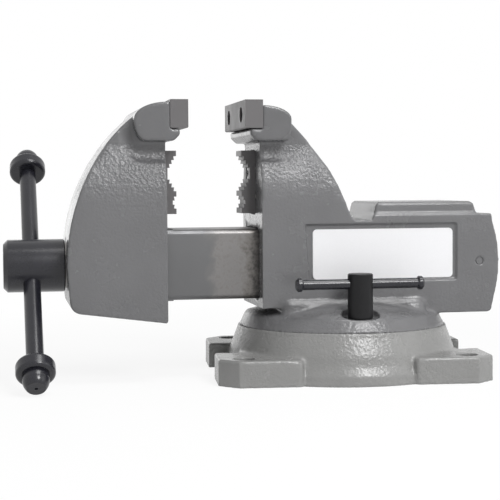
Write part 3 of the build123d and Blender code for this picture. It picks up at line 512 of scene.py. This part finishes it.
# The rear jaw's back, from its head down to the anvil's notch, and how far it swells out.
JAW_BACK_HIGH = (-0.0545, 0.2190)
JAW_BACK_LOW = (-0.0045, 0.1434)
JAW_BACK_HOLLOW = 0.0055
JAW_BACK_SWELL = 0.0122
JAW_BACK_BLEND = 0.009
JAW_BACK_FOOT = 0.010

# The body's rear end, which is brought in by a cut that grows with the height.
REAR_START_X, REAR_RAMP = 0.1222, 0.0055
REAR_LOW_Z, REAR_HIGH_Z = 0.053, 0.138
REAR_LOW_CUT, REAR_HIGH_CUT = 0.0020, 0.0045


def static_reshape(p):
    """Swells the rear jaw's back outwards, and brings the body's rear end in."""
    moved = p.copy()
    x, y, z = p.T
    (high_x, high_z), (low_x, low_z) = JAW_BACK_HIGH, JAW_BACK_LOW
    along = np.clip((high_z - z) / (high_z - low_z), 0.0, 1.0)
    arch = 4.0 * along * (1.0 - along)
    surface = high_x + (low_x - high_x) * along - JAW_BACK_HOLLOW * arch
    blend = np.clip((x - surface + JAW_BACK_BLEND) / JAW_BACK_BLEND, 0.0, 1.0)
    blend = blend * blend * (3.0 - 2.0 * blend)
    head = (np.abs(y) > HEAD_SIDE_Y + 0.0012) * (z > HEAD_LOW_Z - 0.001)
    moved[:, 0] += JAW_BACK_SWELL * arch * blend * (x < low_x + JAW_BACK_FOOT) * (1.0 - head)
    up = np.clip((z - REAR_LOW_Z) / (REAR_HIGH_Z - REAR_LOW_Z), 0.0, 1.0)
    cut = REAR_LOW_CUT + (REAR_HIGH_CUT - REAR_LOW_CUT) * up
    moved[:, 0] -= cut * np.clip((x - REAR_START_X) / REAR_RAMP, 0.0, 1.0)
    return moved


# Places on the body's casting, in metres.
BORE_SIDE_Y, BORE_Z, BORE_REAR_X = 0.031, (0.064, 0.130), 0.11
ROUGH_BORE_SIDE_Y, ROUGH_BORE_Z, ROUGH_BORE_REAR_X = 0.033, (0.060, 0.134), 0.115
RECESS_X, RECESS_Y, RECESS_Z = (-0.043, 0.095), -0.038, (0.078, 0.134)
ANVIL_START_X, ANVIL_LOW_Z, ANVIL_FLAT_Z = 0.005, 0.140, 0.1475
ROUGH_PLINTH_Z, PLINTH_EXTRA = (0.050, 0.067), 0.5
NECK_REAR_X = 0.0
HEAD_REAR_X = -0.05
FOOT_HALF_X, FOOT_Y, FOOT_Z = 0.070, (0.049, 0.058), (0.050, 0.061)
PLINTH_HALF_X, PLINTH_Y, PLINTH_Z = 0.066, (0.044, 0.047), (0.064, 0.069)


def static_soften(p):
    x, y, z = p.T
    side = np.abs(y)
    off_face = np.clip((x - STATIC_FACE_X - FACE_MARGIN) / FACE_FADE, FACE_LEAST, 1.0)
    head = near(z, HEAD_LOW_Z, ABOVE_ALL_Z, SHORT_FADE) * (x < HEAD_REAR_X) * (side > HEAD_SIDE_Y)
    bore = (side < BORE_SIDE_Y) * near(z, *BORE_Z, SHARP_FADE) * (x < BORE_REAR_X)
    spigot = (z < SEAM_Z + 0.0015) * 1.0
    recess = near(x, *RECESS_X, 0.0015) * near(z, *RECESS_Z, 0.0015) * (y < RECESS_Y)
    anvil = (z > ANVIL_LOW_Z) * (x > ANVIL_START_X)
    edges = off_face * (1 - HEAD_KEPT * head) * (1 - bore) * (1 - spigot) * (1 - recess)
    edges = edges * (1 - ANVIL_KEPT * anvil)
    lip = (x < STATIC_FACE_X - 0.0005) * (z < LIP_TOP_Z)
    ledge = near(z, *LEDGE_Z, LEDGE_FADE) * (side > LEDGE_SIDE_Y) * (x < NECK_REAR_X) * off_face
    foot = near(z, *FOOT_Z, SOFT_FADE) * near(side, *FOOT_Y, SOFT_FADE) * (np.abs(x) < FOOT_HALF_X)
    plinth = near(z, *PLINTH_Z, SHORT_FADE) * near(side, *PLINTH_Y, SHORT_FADE) * (np.abs(x) < PLINTH_HALF_X)
    below = np.maximum(foot, PLINTH_SHARE * plinth) * (1 - spigot)
    above = np.maximum(BODY_LIP_SHARE * lip, BODY_LEDGE_SHARE * ledge)
    return [
        (BODY_PASSES, np.maximum(below, above)),
        (EDGE_PASSES, edges),
        (LAST_PASSES, LAST_SHARE * (1 - spigot) * (1 - bore)),
    ]


def static_uneven(p):
    x, y, z = p.T
    flank = (x > STATIC_FACE_X + 0.004) * (z > SEAM_Z + 0.003) * (z < HEAD_LOW_Z)
    bore = (np.abs(y) < ROUGH_BORE_SIDE_Y) * near(z, *ROUGH_BORE_Z, SHARP_FADE) * (x < ROUGH_BORE_REAR_X)
    recess = near(x, *RECESS_X, SHORT_FADE) * near(z, *RECESS_Z, SHORT_FADE) * (y < RECESS_Y)
    top = (z > ANVIL_FLAT_Z) * (x > ANVIL_START_X)
    low = 1.0 - FLANK_KEPT * near(z, FLANK_LOW_Z, FLANK_HIGH_Z, FLANK_FADE)
    plinth = 1.0 + PLINTH_EXTRA * near(z, *ROUGH_PLINTH_Z, SHORT_FADE)
    return flank * (1 - bore) * (1 - recess) * (1 - top) * low * plinth


# Places on the base's casting, in metres.
UNDERSIDE_RADIUS, UNDERSIDE_Z = 0.087, 0.012
LUG_START_RADIUS, LUG_TOP_Z = 0.110, 0.026
LUG_JOINT_Z, LUG_JOINT_RADIUS, LUG_JOINT_FADE = (0.017, 0.029), (0.096, 0.108), 0.004


def base_soften(p):
    x, y, z = p.T
    out = np.hypot(x, y)
    flat = (z < 0.0015) + (z > SEAM_Z - 0.0012) + ((out < UNDERSIDE_RADIUS) * (z > UNDERSIDE_Z))
    main = np.clip(1.0 - flat, 0.0, 1.0)
    lug = (out > LUG_START_RADIUS) * (z < LUG_TOP_Z)
    joint = near(z, *LUG_JOINT_Z, LUG_JOINT_FADE) * near(out, *LUG_JOINT_RADIUS, LUG_JOINT_FADE)
    return [
        (BASE_PASSES, joint * main),
        (EDGE_PASSES, main * (1 - LUG_KEPT * lug)),
        (LAST_PASSES, LAST_SHARE * main),
    ]


def base_uneven(p):
    x, y, z = p.T
    return ((np.hypot(x, y) > UNDERSIDE_RADIUS + 0.002) * (z > 0.003) * (z < SEAM_Z - 0.002)).astype(float)


front_casting = casting(
    "front_jaw", "front_casting", front_soften, front_uneven, cast_enamel, prepare=on_beam
)
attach(front_casting, "moving_jaw")
body_casting = casting(
    "static_jaw", "body_casting", static_soften, static_uneven, cast_enamel, reshape=static_reshape
)
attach(body_casting, "vise_body")
base_casting = casting("swivel_base", "base_casting", base_soften, base_uneven, base_enamel)
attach(base_casting, "base")


def slide_beam():
    """The machined beam, the part of the moving jaw's solid in front of its face."""
    mesh = nodes["front_jaw"].data.copy()
    without(mesh, lambda middle: not on_beam(middle))
    obj = bpy.data.objects.new("slide_beam", mesh)
    scene.collection.objects.link(obj)
    mesh.materials.clear()
    mesh.materials.append(beam_steel)
    for polygon in mesh.polygons:
        polygon.use_smooth = True
    mesh.set_sharp_from_angle(angle=BEAM_SHARP_ANGLE)
    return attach(obj, "moving_jaw")


slide_beam()

# ---------------------------------------------------------------- stage

FLOOR_REACH = 6.0
FLOOR_TONE = (0.9, 0.9, 0.9, 1.0)
WHITE = (1.0, 1.0, 1.0, 1.0)
WORLD_LIGHT = 0.27
WORLD_SHOWN = 1.0

# The floor shows plain white from PLAIN_FROM outwards, and near the object keeps part of its shadow.
SHADOW_TO, PLAIN_FROM, SHADOW_SHARE = 0.2, 0.7, 0.88


def seen_or_mirrored(tree):
    """1 for camera, glossy and transmission rays, else 0."""
    rays = tree.nodes.new("ShaderNodeLightPath")
    seen = tree.nodes.new("ShaderNodeMath")
    seen.operation = "MAXIMUM"
    mirrored = tree.nodes.new("ShaderNodeMath")
    mirrored.operation = "MAXIMUM"
    tree.links.new(rays.outputs["Is Camera Ray"], seen.inputs[0])
    tree.links.new(rays.outputs["Is Glossy Ray"], seen.inputs[1])
    tree.links.new(seen.outputs[0], mirrored.inputs[0])
    tree.links.new(rays.outputs["Is Transmission Ray"], mirrored.inputs[1])
    return mirrored


def floor_white():
    """Matt white that shows plain white, with a soft shadow kept close to the object."""
    material = bpy.data.materials.new("floor_white")
    material.use_nodes = True
    tree = material.node_tree
    tree.nodes.clear()
    out = tree.nodes.new("ShaderNodeOutputMaterial")
    matt = tree.nodes.new("ShaderNodeBsdfDiffuse")
    matt.inputs["Color"].default_value = FLOOR_TONE
    glow = tree.nodes.new("ShaderNodeEmission")
    glow.inputs["Color"].default_value = WHITE
    place = tree.nodes.new("ShaderNodeTexCoord")
    length = tree.nodes.new("ShaderNodeVectorMath")
    length.operation = "LENGTH"
    share = tree.nodes.new("ShaderNodeMapRange")
    share.inputs["From Min"].default_value = SHADOW_TO
    share.inputs["From Max"].default_value = PLAIN_FROM
    share.inputs["To Min"].default_value = SHADOW_SHARE
    share.inputs["To Max"].default_value = 1.0
    both = tree.nodes.new("ShaderNodeMath")
    both.operation = "MULTIPLY"
    mix = tree.nodes.new("ShaderNodeMixShader")
    tree.links.new(place.outputs["Object"], length.inputs[0])
    tree.links.new(length.outputs["Value"], share.inputs["Value"])
    tree.links.new(share.outputs["Result"], both.inputs[0])
    tree.links.new(seen_or_mirrored(tree).outputs[0], both.inputs[1])
    tree.links.new(both.outputs[0], mix.inputs[0])
    tree.links.new(matt.outputs[0], mix.inputs[1])
    tree.links.new(glow.outputs[0], mix.inputs[2])
    tree.links.new(mix.outputs[0], out.inputs["Surface"])
    return material


corners = [(-FLOOR_REACH, -FLOOR_REACH, 0), (FLOOR_REACH, -FLOOR_REACH, 0)]
corners += [(FLOOR_REACH, FLOOR_REACH, 0), (-FLOOR_REACH, FLOOR_REACH, 0)]
floor_mesh = bpy.data.meshes.new("floor")
floor_mesh.from_pydata(corners, [], [(0, 1, 2, 3)])
floor_mesh.materials.append(floor_white())
floor = bpy.data.objects.new("floor", floor_mesh)
scene.collection.objects.link(floor)

world = bpy.data.worlds.new("world")
scene.world = world
world.use_nodes = True
tree = world.node_tree
tree.nodes.clear()
out = tree.nodes.new("ShaderNodeOutputWorld")
lit = tree.nodes.new("ShaderNodeBackground")
lit.inputs["Color"].default_value = WHITE
lit.inputs["Strength"].default_value = WORLD_LIGHT
shown = tree.nodes.new("ShaderNodeBackground")
shown.inputs["Color"].default_value = WHITE
shown.inputs["Strength"].default_value = WORLD_SHOWN
mix = tree.nodes.new("ShaderNodeMixShader")
tree.links.new(seen_or_mirrored(tree).outputs[0], mix.inputs[0])
tree.links.new(lit.outputs[0], mix.inputs[1])
tree.links.new(shown.outputs[0], mix.inputs[2])
tree.links.new(mix.outputs[0], out.inputs["Surface"])

# Area lamps, all turned to AIM: place in metres, width, height, watts.
AIM = Vector((-0.05, 0.0, 0.12))
LAMPS = {
    "key": ((0.36, -1.3, 1.08), 0.5, 0.5, 16.0),
    "right": ((1.4, -0.9, 0.7), 0.9, 1.0, 2.6),
    "back_left": ((-0.55, 1.8, 0.45), 0.7, 0.9, 2.0),
    "top": ((0.3, -0.45, 1.7), 0.8, 0.6, 12.0),
}

for name, (place, width, height, watts) in LAMPS.items():
    data = bpy.data.lights.new(name, "AREA")
    data.shape = "RECTANGLE"
    data.size = width
    data.size_y = height
    data.energy = watts
    lamp = bpy.data.objects.new(name, data)
    lamp.location = place
    lamp.rotation_mode = "QUATERNION"
    lamp.rotation_quaternion = (AIM - Vector(place)).to_track_quat("-Z", "Y")
    scene.collection.objects.link(lamp)

scene.view_settings.view_transform = "Standard"
